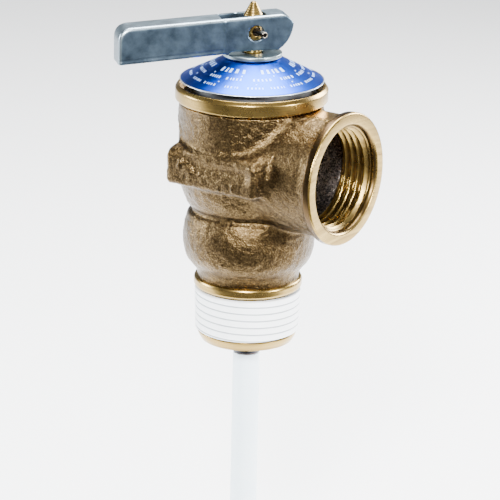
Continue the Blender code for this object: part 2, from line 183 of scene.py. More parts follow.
def piece(name, points, faces, material, body, replaces=(), sharp=35):
    """Makes a mesh from points in millimetres and puts it on a body of the frame."""
    points = np.asarray(points, float)
    mesh = bpy.data.meshes.new(name)
    mesh.from_pydata((points * MM).tolist(), [], outward(points, faces))
    mesh.shade_smooth()
    mesh.set_sharp_from_angle(angle=math.radians(sharp))
    mesh.materials.append(material)
    made = bpy.data.objects.new(name, mesh)
    bpy.context.scene.collection.objects.link(made)
    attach(made, body)
    if replaces:
        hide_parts(*replaces)
    print(name, len(points), "points")
    return made


def paint(made, name, values):
    """Stores one value for each point of a piece, under a name that finishes read."""
    layer = made.data.attributes.new(name, "FLOAT", "POINT")
    layer.data.foreach_set("value", np.asarray(values, np.float32).ravel())


# %% Turned shapes


def softened(points, radius, closed=True, count=4):
    """The profile with each corner cut back by radius and rounded by a Bezier curve."""
    points = [np.array(p, float) for p in points]
    total = len(points)
    made = []
    for i, corner in enumerate(points):
        if not closed and i in (0, total - 1):
            made.append(corner)
            continue
        before = points[i - 1] - corner
        after = points[(i + 1) % total] - corner
        lengths = np.linalg.norm(before), np.linalg.norm(after)
        cut = min(radius, 0.45 * lengths[0], 0.45 * lengths[1])
        start = corner + before / lengths[0] * cut
        end = corner + after / lengths[1] * cut
        for t in np.linspace(0, 1, count + 1):
            made.append((1 - t) ** 2 * start + 2 * t * (1 - t) * corner + t * t * end)
    return np.array(made)


def revolved(profile, steps=128):
    """Points r(s) * (cos a, sin a), z(s): a closed profile of (r, z) turned about Z."""
    profile = np.asarray(profile, float)
    angles = np.arange(steps) * 2 * math.pi / steps
    r, z = profile.T
    x = r[:, None] * np.cos(angles)
    y = r[:, None] * np.sin(angles)
    points = np.stack([x, y, np.broadcast_to(z[:, None], x.shape)], -1).reshape(-1, 3)
    index = np.arange(len(profile) * steps).reshape(len(profile), steps)
    return points, grid_faces(ring_closed(index))


OUTLET_HEIGHT = 47.0


def along_outlet(points):
    """Turns points made about Z so that their axis is the outlet's, along +X."""
    x, y, z = np.asarray(points).T
    return np.stack([z, y, OUTLET_HEIGHT - x], -1)


print("helpers ready")

# %% [markdown]
# ## Shader node groups
# Three effects are used by several finishes, so each is one group. `sand_grain` is the
# print of a sand mould, `lathe_marks` the fine rings that a cutting tool leaves, and
# `handling` the smudges and rubbed patches of a part that has been handled.

# %% Group helpers


def new_group(name, inputs, outputs):
    """A node group with float or vector inputs and float outputs, and its two ends."""
    group = bpy.data.node_groups.new(name, "ShaderNodeTree")
    for label, kind, value in inputs:
        socket = group.interface.new_socket(label, in_out="INPUT", socket_type=kind)
        if value is not None:
            socket.default_value = value
    for label in outputs:
        group.interface.new_socket(label, in_out="OUTPUT", socket_type="NodeSocketFloat")
    start = group.nodes.new("NodeGroupInput")
    end = group.nodes.new("NodeGroupOutput")
    return group, start, end


def add(tree, kind, **sockets):
    """A new node. A keyword sets or links the input of that name, with _ for a space."""
    made = tree.nodes.new("ShaderNode" + kind)
    for name, value in sockets.items():
        socket = made.inputs[int(name[2:])] if name.startswith("in") else None
        if socket is None:
            socket = made.inputs[name.replace("_", " ")]
        if isinstance(value, bpy.types.NodeSocket):
            tree.links.new(value, socket)
        else:
            socket.default_value = value
    return made


def maths(tree, operation, first, second=0.0):
    """A Math node's result."""
    made = tree.nodes.new("ShaderNodeMath")
    made.operation = operation
    for socket, value in zip(made.inputs, (first, second)):
        if isinstance(value, bpy.types.NodeSocket):
            tree.links.new(value, socket)
        else:
            socket.default_value = value
    return made.outputs[0]


def weighted_sum(tree, *pairs):
    """The sum of each value times its weight."""
    total = None
    for value, weight in pairs:
        part = maths(tree, "MULTIPLY", value, weight)
        total = part if total is None else maths(tree, "ADD", total, part)
    return total


def noise(tree, vector, scale, detail=3.0, roughness=0.55):
    """A Noise texture's value."""
    made = add(
        tree, "TexNoise", Vector=vector, Scale=scale, Detail=detail, Roughness=roughness
    )
    return made.outputs["Fac"]


def stretched(tree, vector, scale):
    """Coordinates scaled along each axis."""
    made = tree.nodes.new("ShaderNodeVectorMath")
    made.operation = "MULTIPLY"
    tree.links.new(vector, made.inputs[0])
    made.inputs[1].default_value = scale
    return made.outputs[0]


print("node helpers ready")


# %% The three groups


def build_sand_grain():
    """Height and tone of a sand mould's print: fine grains over a slower swell."""
    group, start, end = new_group(
        "sand_grain",
        [("Vector", "NodeSocketVector", None), ("Grain", "NodeSocketFloat", 2300.0)],
        ["Height", "Tone"],
    )
    vector, grain = start.outputs["Vector"], start.outputs["Grain"]
    fine = noise(group, vector, grain, 4.0, 0.6)
    cells = add(group, "TexVoronoi", Vector=vector, Scale=grain)
    swell = noise(group, vector, 260.0, 2.0)
    blotch = noise(group, vector, 90.0, 4.0, 0.6)
    height = weighted_sum(group, (fine, 0.7), (cells.outputs["Distance"], 0.4), (swell, 0.5))
    tone = weighted_sum(group, (fine, 0.78), (blotch, 0.22))
    group.links.new(height, end.inputs["Height"])
    group.links.new(tone, end.inputs["Tone"])
    return group


def build_lathe_marks():
    """Rings about Z: noise read at (radius, height), hardly changing round the axis."""
    group, start, end = new_group(
        "lathe_marks",
        [("Vector", "NodeSocketVector", None), ("Pitch", "NodeSocketFloat", 5000.0)],
        ["Height", "Tone"],
    )
    split = add(group, "SeparateXYZ", in0=start.outputs["Vector"])
    x, y, z = split.outputs
    squares = maths(group, "ADD", maths(group, "MULTIPLY", x, x), maths(group, "MULTIPLY", y, y))
    radius = maths(group, "SQRT", squares)
    ring = add(group, "CombineXYZ", in0=radius, in1=maths(group, "MULTIPLY", x, 0.02), in2=z)
    fine = noise(group, ring.outputs[0], start.outputs["Pitch"], 2.0)
    broad = noise(group, ring.outputs[0], 900.0, 2.0)
    group.links.new(fine, end.inputs["Height"])
    tone = weighted_sum(group, (fine, 0.4), (broad, 0.6))
    group.links.new(tone, end.inputs["Tone"])
    return group


def build_handling():
    """Smudges, and short scratches in one direction, both from 0 to 1."""
    group, start, end = new_group(
        "handling",
        [("Vector", "NodeSocketVector", None), ("Size", "NodeSocketFloat", 120.0)],
        ["Smudge", "Scratch"],
    )
    vector = start.outputs["Vector"]
    smudge = noise(group, vector, start.outputs["Size"], 5.0, 0.65)
    lines = noise(group, stretched(group, vector, (0.08, 1.0, 1.0)), 2600.0, 2.0)
    scratch = maths(group, "GREATER_THAN", lines, 0.70)
    group.links.new(smudge, end.inputs["Smudge"])
    group.links.new(scratch, end.inputs["Scratch"])
    return group


SAND_GRAIN = build_sand_grain()
LATHE_MARKS = build_lathe_marks()
HANDLING = build_handling()
print("3 node groups")

# %% [markdown]
# ## Finishes
# A finish is a Principled shader whose colour, roughness and bump come from the groups.
# Values that are the same all over stay on the shader's own sockets.

# %% Finish helpers


def new_finish(name, metallic, roughness):
    material = bpy.data.materials.new(name)
    material.use_nodes = True
    tree = material.node_tree
    shader = tree.nodes["Principled BSDF"]
    shader.inputs["Metallic"].default_value = metallic
    shader.inputs["Roughness"].default_value = roughness
    vector = tree.nodes.new("ShaderNodeTexCoord").outputs["Object"]
    return material, tree, shader, vector


def use_group(tree, group, vector, **values):
    made = tree.nodes.new("ShaderNodeGroup")
    made.node_tree = group
    tree.links.new(vector, made.inputs["Vector"])
    for name, value in values.items():
        made.inputs[name].default_value = value
    return made.outputs


def ramp(tree, value, stops):
    """A colour ramp from (position, colour) pairs."""
    made = tree.nodes.new("ShaderNodeValToRGB")
    tree.links.new(value, made.inputs["Fac"])
    elements = made.color_ramp.elements
    while len(elements) < len(stops):
        elements.new(0.5)
    for element, (position, colour) in zip(elements, stops):
        element.position = position
        element.color = (*colour, 1)
    return made.outputs["Color"]


def between(tree, value, low, high):
    """The value from 0 to 1 spread between low and high."""
    made = add(tree, "MapRange", Value=value)
    made.inputs["To Min"].default_value = low
    made.inputs["To Max"].default_value = high
    return made.outputs["Result"]


def painted(tree, name):
    """The value that a mesh carries under this name, 0 where it has none."""
    made = tree.nodes.new("ShaderNodeAttribute")
    made.attribute_name = name
    return made.outputs["Fac"]


def blend(tree, share, first, second):
    """The first colour, or the second where share is 1."""
    made = tree.nodes.new("ShaderNodeMix")
    made.data_type = "RGBA"
    tree.links.new(share, made.inputs[0])
    for socket, colour in ((made.inputs[6], first), (made.inputs[7], second)):
        if isinstance(colour, bpy.types.NodeSocket):
            tree.links.new(colour, socket)
        else:
            socket.default_value = (*colour, 1)
    return made.outputs[2]


def bump(tree, shader, height, distance, strength=1.0):
    """Links a height to the shader's normal. Distance is in millimetres."""
    made = add(tree, "Bump", Height=height)
    made.inputs["Distance"].default_value = distance * MM
    made.inputs["Strength"].default_value = strength
    tree.links.new(made.outputs["Normal"], shader.inputs["Normal"])


print("finish helpers ready")


# %% Cast bronze and turned brass


def cast_bronze():
    """Brown bronze with a sparkling sand grain, and bright where it was machined."""
    material, tree, shader, vector = new_finish("cast_bronze", 1.0, 0.45)
    grain = use_group(tree, SAND_GRAIN, vector)
    marks = use_group(tree, LATHE_MARKS, vector)
    outside = ramp(tree, grain["Tone"], [
        (0.36, (0.034, 0.021, 0.008)),
        (0.50, (0.080, 0.051, 0.021)),
        (0.64, (0.180, 0.120, 0.052)),
    ])
    # Inside the chamber and the passage: a grey cast tone, made lighter than the outside bronze as
    # painted light on walls the lamps hardly reach.
    inside_tone_and_painted_light = ramp(tree, grain["Tone"], [(0.42, (0.040, 0.034, 0.031)), (0.60, (0.46, 0.39, 0.35))])
    turned = ramp(tree, marks["Tone"], [(0.3, (0.28, 0.17, 0.05)), (0.7, (0.48, 0.32, 0.12))])
    cast = blend(tree, painted(tree, "inside"), outside, inside_tone_and_painted_light)
    mask = painted(tree, "machined")
    tree.links.new(blend(tree, mask, cast, turned), shader.inputs["Base Color"])
    matt = between(tree, grain["Tone"], 0.42, 0.20)
    roughness = maths(tree, "SUBTRACT", matt, maths(tree, "MULTIPLY", mask, 0.08))
    tree.links.new(roughness, shader.inputs["Roughness"])
    as_cast = maths(tree, "SUBTRACT", 1.0, mask)
    bump(tree, shader, maths(tree, "MULTIPLY", grain["Height"], as_cast), 0.18, 1.0)
    return material


BRASS_LOW = (0.19, 0.117, 0.030)
BRASS_HIGH = (0.50, 0.345, 0.110)


def turned_brass(name="turned_brass", turn=None):
    """Brass cut on a lathe, with its rings about Z, or about turn's axis."""
    material, tree, shader, vector = new_finish(name, 1.0, 0.25)
    ring_vector = vector
    if turn:
        mapping = add(tree, "Mapping", Vector=vector)
        mapping.inputs["Location"].default_value = turn[0]
        mapping.inputs["Rotation"].default_value = turn[1]
        ring_vector = mapping.outputs["Vector"]
    marks = use_group(tree, LATHE_MARKS, ring_vector)
    smudge = use_group(tree, HANDLING, vector)["Smudge"]
    tone = ramp(tree, marks["Tone"], [(0.25, BRASS_LOW), (0.75, BRASS_HIGH)])
    tree.links.new(tone, shader.inputs["Base Color"])
    tree.links.new(between(tree, smudge, 0.16, 0.40), shader.inputs["Roughness"])
    bump(tree, shader, marks["Height"], 0.02, 0.5)
    return material


CAST_BRONZE = cast_bronze()
TURNED_BRASS = turned_brass()
OUTLET_BRASS = turned_brass(
    "outlet_brass", ((-OUTLET_HEIGHT * MM, 0, 0), (0, -math.pi / 2, 0))
)
print("bronze and brass")

# %% Other metals, coatings, rubber and wax


def sheet_metal(name, dark, light, rough=(0.24, 0.46)):
    """Plated or drawn sheet: a soft mottle, fine scratches along X, little bump."""
    material, tree, shader, vector = new_finish(name, 1.0, 0.35)
    marks = use_group(tree, HANDLING, vector, Size=260.0)
    tone = ramp(tree, marks["Smudge"], [(0.3, dark), (0.7, light)])
    tree.links.new(tone, shader.inputs["Base Color"])
    scratched = maths(tree, "MULTIPLY", marks["Scratch"], 0.12)
    matt = maths(tree, "ADD", between(tree, marks["Smudge"], *rough), scratched)
    tree.links.new(matt, shader.inputs["Roughness"])
    bump(tree, shader, marks["Smudge"], 0.02, 0.4)
    return material


def coated(name, dark, light, rough, coat=0.0, metallic=0.0, texture=1500.0, depth=0.02):
    """A coating, plastic, rubber or wax: near one colour, with a fine skin."""
    material, tree, shader, vector = new_finish(name, metallic, rough[0])
    marks = use_group(tree, HANDLING, vector, Size=150.0)
    tone = ramp(tree, marks["Smudge"], [(0.3, dark), (0.7, light)])
    tree.links.new(tone, shader.inputs["Base Color"])
    tree.links.new(between(tree, marks["Smudge"], *rough), shader.inputs["Roughness"])
    shader.inputs["Coat Weight"].default_value = coat
    shader.inputs["Coat Roughness"].default_value = 0.2
    bump(tree, shader, noise(tree, vector, texture, 2.0), depth, 0.5)
    return material


def with_paint(material, name, colour):
    """Adds a second colour where the mesh is painted with the named value."""
    tree = material.node_tree
    socket = tree.nodes["Principled BSDF"].inputs["Base Color"]
    tree.links.new(blend(tree, painted(tree, name), socket.links[0].from_socket, colour), socket)
    return material


ZINC = sheet_metal("zinc_plate", (0.068, 0.102, 0.142), (0.140, 0.198, 0.260))
WASHER_ZINC = sheet_metal("washer_zinc", (0.19, 0.25, 0.27), (0.31, 0.38, 0.40))
STEEL = sheet_metal("stainless", (0.45, 0.44, 0.42), (0.65, 0.64, 0.62))
COPPER = sheet_metal("copper", (0.62, 0.30, 0.18), (0.82, 0.46, 0.30))
# Painted shade: the probe's ferrule, just under the inlet, is coloured near black where it sits in
# shadow.
FERRULE_SHADE = sheet_metal("dark_steel", (0.03, 0.03, 0.035), (0.09, 0.09, 0.10))
BLUE = coated("blue_aluminium", (0.0005, 0.048, 0.43), (0.0008, 0.068, 0.54), (0.26, 0.36), 0.0, 1.0)
PRINT = coated("plate_marks", (0.26, 0.40, 0.68), (0.38, 0.54, 0.84), (0.35, 0.50), 0.0, 0.3)
SEALANT = coated("white_sealant", (0.88, 0.91, 0.93), (0.93, 0.95, 0.96), (0.50, 0.65), depth=0.03)
# Painted shade in the thread coat's groove: grey where the groove runs.
with_paint(SEALANT, "root", (0.30, 0.33, 0.35))
# Painted shade on the outlet rim: dark brown over its outer side and in the roots of its thread.
with_paint(OUTLET_BRASS, "side", (0.07, 0.042, 0.017))
# Painted light on the lever: a lighter colour along its bends and over the top of its web and tip.
with_paint(ZINC, "bend", (0.36, 0.44, 0.48))
COATING = coated("white_coating", (0.73, 0.85, 0.92), (0.79, 0.90, 0.95), (0.28, 0.40), 0.15)
# Painted shade: the bonnet is coloured near black so that the gap under the plate's rim reads dark.
BONNET_SHADE = coated("bonnet_black", (0.006, 0.006, 0.007), (0.014, 0.014, 0.015), (0.45, 0.65))
RUBBER = coated("black_rubber", (0.012, 0.012, 0.012), (0.03, 0.03, 0.03), (0.7, 0.9))
SILICONE = coated("red_silicone", (0.42, 0.07, 0.04), (0.55, 0.11, 0.07), (0.5, 0.65))
WAX = coated("expansion_wax", (0.66, 0.55, 0.30), (0.78, 0.68, 0.42), (0.5, 0.7))
print(len(bpy.data.materials), "finishes")

# %% [markdown]
# ## The casting
# The body is sand cast: soft edges, fillets where the shapes meet, and the print of the
# sand. Such a shape is easiest as an implicit surface. A function gives each point's
# distance from the surface, shapes join with a smooth minimum, and surface nets turn the
# zero level into a mesh. Each vertex is then moved onto the zero level exactly.

# %% Surface nets


def surface_nets(distance, low, high, step):
    """The zero level of distance(points) in a box, as points and quads.

    Each grid cell that the surface crosses holds one point, the mean of where its
    edges are crossed, and each crossed grid edge joins its four cells with a quad.
    """
    axes = [np.arange(a, b + step, step) for a, b in zip(low, high)]
    lattice = np.stack(np.meshgrid(*axes, indexing="ij"), -1)
    values = distance(lattice.reshape(-1, 3)).reshape(lattice.shape[:3])
    inside = values < 0
    cells = tuple(n - 1 for n in values.shape)
    total = np.zeros((*cells, 3))
    count = np.zeros(cells)
    crossings = []
    for axis in range(3):
        first = [slice(None)] * 3
        second = [slice(None)] * 3
        first[axis] = slice(None, -1)
        second[axis] = slice(1, None)
        a, b = values[tuple(first)], values[tuple(second)]
        cross = inside[tuple(first)] != inside[tuple(second)]
        share = np.where(cross, a / np.where(a == b, 1, a - b), 0)
        spot = lattice[tuple(first)].copy()
        spot[..., axis] += share * step
        crossings.append((cross, inside[tuple(first)]))
        u, v = [k for k in range(3) if k != axis]
        for du in (0, 1):
            for dv in (0, 1):
                part = [slice(None)] * 3
                part[u] = slice(du, du + cells[u])
                part[v] = slice(dv, dv + cells[v])
                hit = cross[tuple(part)]
                total += spot[tuple(part)] * hit[..., None]
                count += hit
    number = np.full(cells, -1)
    active = count > 0
    number[active] = np.arange(active.sum())
    points = total[active] / count[active][:, None]
    quads = []
    for axis, (cross, start_inside) in enumerate(crossings):
        u, v = (axis + 1) % 3, (axis + 2) % 3
        i = np.argwhere(cross)
        i = i[(i[:, u] > 0) & (i[:, v] > 0) & (i[:, u] < cells[u]) & (i[:, v] < cells[v])]
        back_u, back_v = np.eye(3, dtype=int)[u], np.eye(3, dtype=int)[v]
        ring = [i, i - back_u, i - back_u - back_v, i - back_v]
        quad = np.stack([number[tuple(k.T)] for k in ring], -1)
        turn = start_inside[tuple(i.T)]
        quad[~turn] = quad[~turn][:, ::-1]
        quads.append(quad)
    return points, np.concatenate(quads)


def slope_of(distance, points, reach=0.02):
    """Gradient of distance by central differences."""
    columns = []
    for axis in np.eye(3) * reach:
        columns.append((distance(points + axis) - distance(points - axis)) / (2 * reach))
    return np.stack(columns, -1)


def settle(distance, points, rounds=3, limit=0.3):
    """Moves points onto the zero level by Newton steps, none longer than limit."""
    for _ in range(rounds):
        slope = slope_of(distance, points)
        size = np.maximum((slope**2).sum(-1, keepdims=True), 0.05)
        move = -distance(points)[:, None] * slope / size
        length = np.linalg.norm(move, axis=-1, keepdims=True)
        points = points + move * np.minimum(1, limit / np.maximum(length, 1e-9))
    return points


def smooth_max(a, b, soft):
    """The larger of two distances, rounded over a width of soft."""
    return np.maximum(a, b) + np.maximum(soft - np.abs(a - b), 0) ** 2 / (4 * soft)


def smooth_min(a, b, soft):
    """The smaller of two distances: joins two solids with a fillet."""
    return -smooth_max(-a, -b, soft)


def lattice_noise(points, size, seed):
    """Smooth noise from -1 to 1: random values on a lattice, eased between its points."""
    table = np.random.default_rng(seed).uniform(-1, 1, (64, 64, 64))
    place = points / size + 1000.0
    whole = np.floor(place).astype(int)
    part = place - whole
    part = part * part * (3 - 2 * part)
    value = 0
    for corner in np.ndindex(2, 2, 2):
        weight = np.prod(np.where(corner, part, 1 - part), -1)
        value = value + weight * table[tuple(((whole + corner) % 64).T)]
    return value


print("surface nets ready")

# %% The casting's shape
CAST_PROFILE = np.array([
    (12.95, 15.0), (12.95, 17.9), (13.35, 19.0), (14.2, 20.0), (15.1, 21.0),
    (15.85, 22.2), (16.35, 23.6), (16.65, 25.4), (16.72, 27.2), (16.60, 29.2),
    (16.30, 31.0), (15.90, 32.4), (15.45, 33.7), (14.55, 34.5), (14.55, 35.0),
    (15.6, 35.9), (16.55, 37.9), (17.15, 39.6), (17.75, 41.6), (18.1, 44.0), (18.1, 63.0),
])
INSIDE_PROFILE = np.array([
    (9.8, 15.0), (9.8, 18.5), (13.0, 22.0), (13.0, 29.5), (9.5, 31.0), (6.6, 31.3),
    (6.6, 33.6), (12.2, 33.7), (12.2, 37.0), (14.8, 40.5), (14.8, 70.0),
])
BOSS_R = 15.5
PASSAGE_R = 12.2
THREAD_SEAT_X = 19.2
RIM_BACK_X = 26.4
PAD_DISTANCE = 19.5
PAD_MIDDLE = 47.5
PAD_HALF_HEIGHT = 4.6
PAD_START = -12.3
PAD_END = 14.7
SHELF = 62.2
COLLAR_R = 19.05


def radius_at(profile, z, blur=0.35):
    """The profile's radius at each height, with its corners blurred by a short average."""
    shifts = np.linspace(-blur, blur, 5)
    return sum(np.interp(z + s, profile[:, 1], profile[:, 0]) for s in shifts) / len(shifts)


def short_ridge(across, width, along, length):
    """A bump from 0 to 1: a bell across the ridge, and a flat-topped one along it."""
    return np.exp(-((across / width) ** 2)) * np.exp(-((along / length) ** 4))


def pad_distance(x, y, z):
    """A pair of wrench pads: a rounded bar across the body, with shaped faces.

    The bar's top falls slightly towards each face. A hollow runs along the face, a
    little above the middle, and two short ridges stand where the pattern was keyed.
    """
    out = np.abs(y)
    side = np.sign(y)
    path = PAD_MIDDLE + 1.0 + 2.6 * np.clip((-3.0 - x) / 5.0, 0, 1)
    along = np.clip((x - PAD_START - 1.0) / 3.0, 0, 1) * np.clip((PAD_END - 1.0 - x) / 2.5, 0, 1)
    hollow = 1.0 * np.exp(-(((z - path) / 1.35) ** 2)) * along
    upper = 0.35 * np.clip((z - path) / 1.5, 0, 1) * along
    upright = short_ridge(x + 7.9 - 0.25 * (z - 49.0), 0.38, z - 49.0, 1.3)
    ridges = upright + short_ridge(x - 8.1, 0.36, z - 45.2, 0.95)
    face = out - PAD_DISTANCE + hollow + upper - 0.42 * ridges * (side < 0)
    middle_x = (PAD_START + PAD_END) / 2
    ends = np.abs(x - middle_x) - (PAD_END - PAD_START) / 2
    low = PAD_MIDDLE - PAD_HALF_HEIGHT - z
    high = z - PAD_MIDDLE - PAD_HALF_HEIGHT + (out - PAD_DISTANCE) * 0.21
    bar = smooth_max(face, ends, 1.5)
    bar = smooth_max(bar, low, 1.5)
    return smooth_max(bar, high, 2.2)


def casting_distance(points):
    """Distance from the bronze casting's surface, negative inside the metal."""
    x, y, z = points.T
    r = np.hypot(x, y)
    body = (r - radius_at(CAST_PROFILE, z)) * 0.9
    rho = np.hypot(y, z - OUTLET_HEIGHT)
    flare = 0.4 * np.clip((x - 24.0) / 2.4, 0, 1) ** 2
    boss = smooth_max(rho - BOSS_R - flare, 4.0 - x, 0.5)
    pads = smooth_min(pad_distance(x, y, z), boss, 2.8)
    solid = smooth_min(body, pads, 1.0)
    solid = solid - seam(x, y, z, r, rho)
    solid = np.maximum(solid, z - SHELF)
    passage = np.maximum(rho - PASSAGE_R, 5.0 - x)
    seat = np.maximum(rho - 14.2, THREAD_SEAT_X - x)
    inner = np.minimum(r - radius_at(INSIDE_PROFILE, z, 0.1), np.minimum(passage, seat))
    solid = np.maximum(solid, -inner)
    solid = np.maximum(solid, x - RIM_BACK_X - 0.3)
    return np.maximum(solid, 16.0 - z)


def seam(x, y, z, r, rho):
    """Height of the bead left on the join of body and boss, and of the mould's flash.

    The bead follows the line where both distances are near zero, above the pads. It
    comes and goes along the line. The flash lies on the plane y = 0, at the back.
    """
    join = np.hypot(r - 18.1, rho - BOSS_R)
    above = np.clip((z - 52.5) / 2.0, 0, 1)
    bead = 0.26 * np.exp(-((join / 0.75) ** 2)) * above
    beside = (np.abs(z - 48.0) < 4.6) & (np.abs(y) > 12)
    knots = 0.5 + 0.5 * np.sin(2 * math.pi * z / 0.95)
    row = 0.24 * knots * np.exp(-(((x - PAD_END - 0.35) / 0.4) ** 2)) * beside
    flash = 0.16 * np.exp(-((y / 0.35) ** 2)) * (x < -10)
    return bead + row + flash


def make_casting():
    low, high = (-20.5, -20.5, 15.5), (28.0, 20.5, 63.2)
    points, quads = surface_nets(casting_distance, low, high, 0.45)
    points = settle(casting_distance, points)
    slope = slope_of(casting_distance, points)
    normal = slope / np.maximum(np.linalg.norm(slope, axis=-1, keepdims=True), 1e-6)
    x, y, z = points.T
    machined = ((normal[:, 2] > 0.9) & (z > SHELF - 0.15)).astype(float)
    sand = 0.10 * lattice_noise(points, 1.0, 3) + 0.055 * lattice_noise(points, 0.65, 4)
    sand = sand + 0.08 * lattice_noise(points, 4.0, 5) - 0.11
    points = points + normal * (sand * (1 - machined))[:, None]
    made = piece(
        "body_casting", points, quads.tolist(), CAST_BRONZE, "valve",
        ["valve_body"], sharp=60,
    )
    paint(made, "machined", machined)
    # The chamber and passage walls, which the finish paints grey and lighter: their cast tone, and
    # painted light.
    chamber = (np.hypot(x, y) < radius_at(INSIDE_PROFILE, z, 0.1) + 0.5) & (z > 17)
    mouth = (np.hypot(y, z - OUTLET_HEIGHT) < 14.4) & (x > 5)
    paint(made, "inside", (chamber | mouth) & (z < 62))
    return made


make_casting()

# %% [markdown]
# ## Collar, outlet rim and nipple
# These are the faces that a lathe cuts on the casting. They are bright and their edges
# are crisp, so they are turned profiles. The female thread is a real helix: its radius
# is a ridge that moves one pitch along the axis in each turn.

# %% Turned faces of the body
LIP_TOP = 66.8
PITCH = 25.4 / 14
TAPER = 1 / 32


def make_collar():
    """The collar, whose lip is rolled in over the bonnet's edge."""
    profile = softened([
        (18.0, LIP_TOP - 0.3), (18.4, LIP_TOP - 0.3), (COLLAR_R, LIP_TOP - 1.2),
        (COLLAR_R, 62.9), (18.3, 62.4), (14.9, 62.0), (14.9, 61.0), (17.0, 61.0),
        (17.0, 64.4), (17.8, 65.0),
    ], 0.22)
    points, faces = revolved(profile, 160)
    piece("collar", points, faces, TURNED_BRASS, "valve", ["valve_body"])


def outlet_rim_radius(x, angle):
    """The female thread: a ridge that advances a pitch a turn, fading out at the mouth end."""
    turn = (x / PITCH + angle / (2 * math.pi)) % 1
    ridge = np.clip(1.35 * (1 - np.abs(2 * turn - 1)) - 0.12, 0, 1)
    fade = np.clip((27.3 - x) / 0.5, 0, 1)
    root = 13.3 - TAPER * (28.9 - x)
    return root - 0.95 * ridge * fade


def make_outlet_rim():
    """The turned rim, its counterbore and its thread, in one closed ring."""
    steps = 200
    inner_x = np.linspace(27.9, THREAD_SEAT_X + 0.05, 110)
    angles = np.arange(steps) * 2 * math.pi / steps
    bore = outlet_rim_radius(inner_x[:, None], angles[None])
    outer = softened([
        (14.35, THREAD_SEAT_X + 0.05), (14.35, 24.0), (15.4, 26.2), (16.2, 26.4),
        (16.64, 26.9), (16.64, 28.55), (16.35, 28.9), (13.9, 28.9), (13.45, 28.4),
    ], 0.22, closed=False)
    outer_r = np.broadcast_to(outer[:, :1], (len(outer), steps))
    outer_x = outer[:, 1]
    r = np.concatenate([outer_r, bore])
    x = np.concatenate([outer_x, inner_x])
    along = np.broadcast_to(x[:, None], r.shape)
    points = np.stack([r * np.cos(angles), r * np.sin(angles), along], -1)
    index = ring_closed(np.arange(r.size).reshape(r.shape))
    points = along_outlet(points.reshape(-1, 3))
    made = piece(
        "outlet_rim", points, grid_faces(index), OUTLET_BRASS, "valve",
        ["valve_body"],
    )
    # Painted shade: the rim's outer side dark, and the thread's roots darker the deeper they are.
    side = np.broadcast_to((outer_x < 28.5)[:, None] * 1.0, outer_r.shape)
    paint(made, "side", np.concatenate([side, np.clip((bore - 12.3) * 0.7, 0, 0.6)]))


def make_nipple():
    """The turned nipple: shoulder ring, thread's core, end chamfer and bore."""
    profile = softened([
        (12.6, 17.0), (13.45, 16.7), (13.7, 16.2), (13.7, 14.7), (13.3, 14.2),
        (12.1, 13.95), (12.1, 2.5), (12.75, 2.4), (12.3, 1.2), (11.6, 0.0),
        (10.4, 0.0), (9.8, 1.2), (9.8, 17.5),
    ], 0.2)
    points, faces = revolved(profile, 128)
    piece("inlet_nipple", points, faces, TURNED_BRASS, "valve", ["valve_body"])


def make_sealant():
    """The white coat on the male thread: flat bands parted by a fine helical groove, with painted
    shade in it.
    """
    steps = 160
    z = np.linspace(13.6, 2.7, 170)
    angles = np.arange(steps) * 2 * math.pi / steps
    turn = (z[:, None] / PITCH + angles[None] / (2 * math.pi)) % 1
    groove_depth = 0.26 * np.exp(-(((turn - 0.5) / 0.10) ** 2))
    skin = 13.47 - TAPER * (13.6 - z[:, None]) - groove_depth
    ends = np.minimum(13.6 - z, z - 2.7)[:, None]
    skin = skin - 0.35 * np.clip(1 - ends / 0.35, 0, 1) ** 2
    inner_z = np.array([2.7, 13.6])
    r = np.concatenate([skin, np.full((2, steps), 12.4)])
    height = np.concatenate([z, inner_z])
    height = np.broadcast_to(height[:, None], r.shape)
    points = np.stack([r * np.cos(angles), r * np.sin(angles), height], -1)
    index = ring_closed(np.arange(r.size).reshape(r.shape))
    made = piece(
        "thread_coat", points.reshape(-1, 3), grid_faces(index), SEALANT, "valve",
        ["thread_sealant"],
    )
    # Painted shade: grey in the groove, the more the deeper it is.
    root = np.concatenate([groove_depth / 0.26, np.zeros((2, steps))])
    paint(made, "root", np.clip(root * 1.6 - 0.3, 0, 1))


make_collar()
make_outlet_rim()
make_nipple()
make_sealant()

# %% [markdown]
# ## The test lever
# The lever is one pressed sheet: a web on top, a cheek on each side and a closed tip, bent over a
# former. The bends are rounded, and a painted highlight runs along each of them; the top of the web
# and the tip are painted lighter too, as painted light from above. As with the casting, the shape is
# a distance function: a rounded box, less the same box moved in by the sheet.

# %% Lever
WEB_HEIGHT = 4.2
WEB_DROOP = math.tan(math.radians(3.3))
LEVER_TIP = 34.4
LEVER_SHEET = 1.3
LEVER_HALF_WIDTH = 3.68
CHANNEL_HALF_WIDTH = 2.4
LEVER_HOLE_R = 1.9
LEVER_HEADING = math.radians(-131.3)
PIN_HEIGHT = 80.1
CAM_LIFT = 2.75
PIN_SKEW = math.radians(14.7)


def outline_distance(x, z, outline):
    """Signed distance to a closed outline, negative inside: nearest edge, even-odd side."""
    best = np.full(x.shape, 1e9)
    inside = np.zeros(x.shape, bool)
    for (ax, az), (bx, bz) in zip(outline, np.roll(outline, -1, axis=0)):
        ex, ez = bx - ax, bz - az
        t = np.clip(((x - ax) * ex + (z - az) * ez) / (ex * ex + ez * ez), 0, 1)
        best = np.minimum(best, np.hypot(x - ax - t * ex, z - az - t * ez))
        crosses = (az > z) != (bz > z)
        where = ax + (z - az) / (ez if ez else 1e-9) * ex
        inside ^= crosses & (x < where)
    return np.where(inside, -best, best)


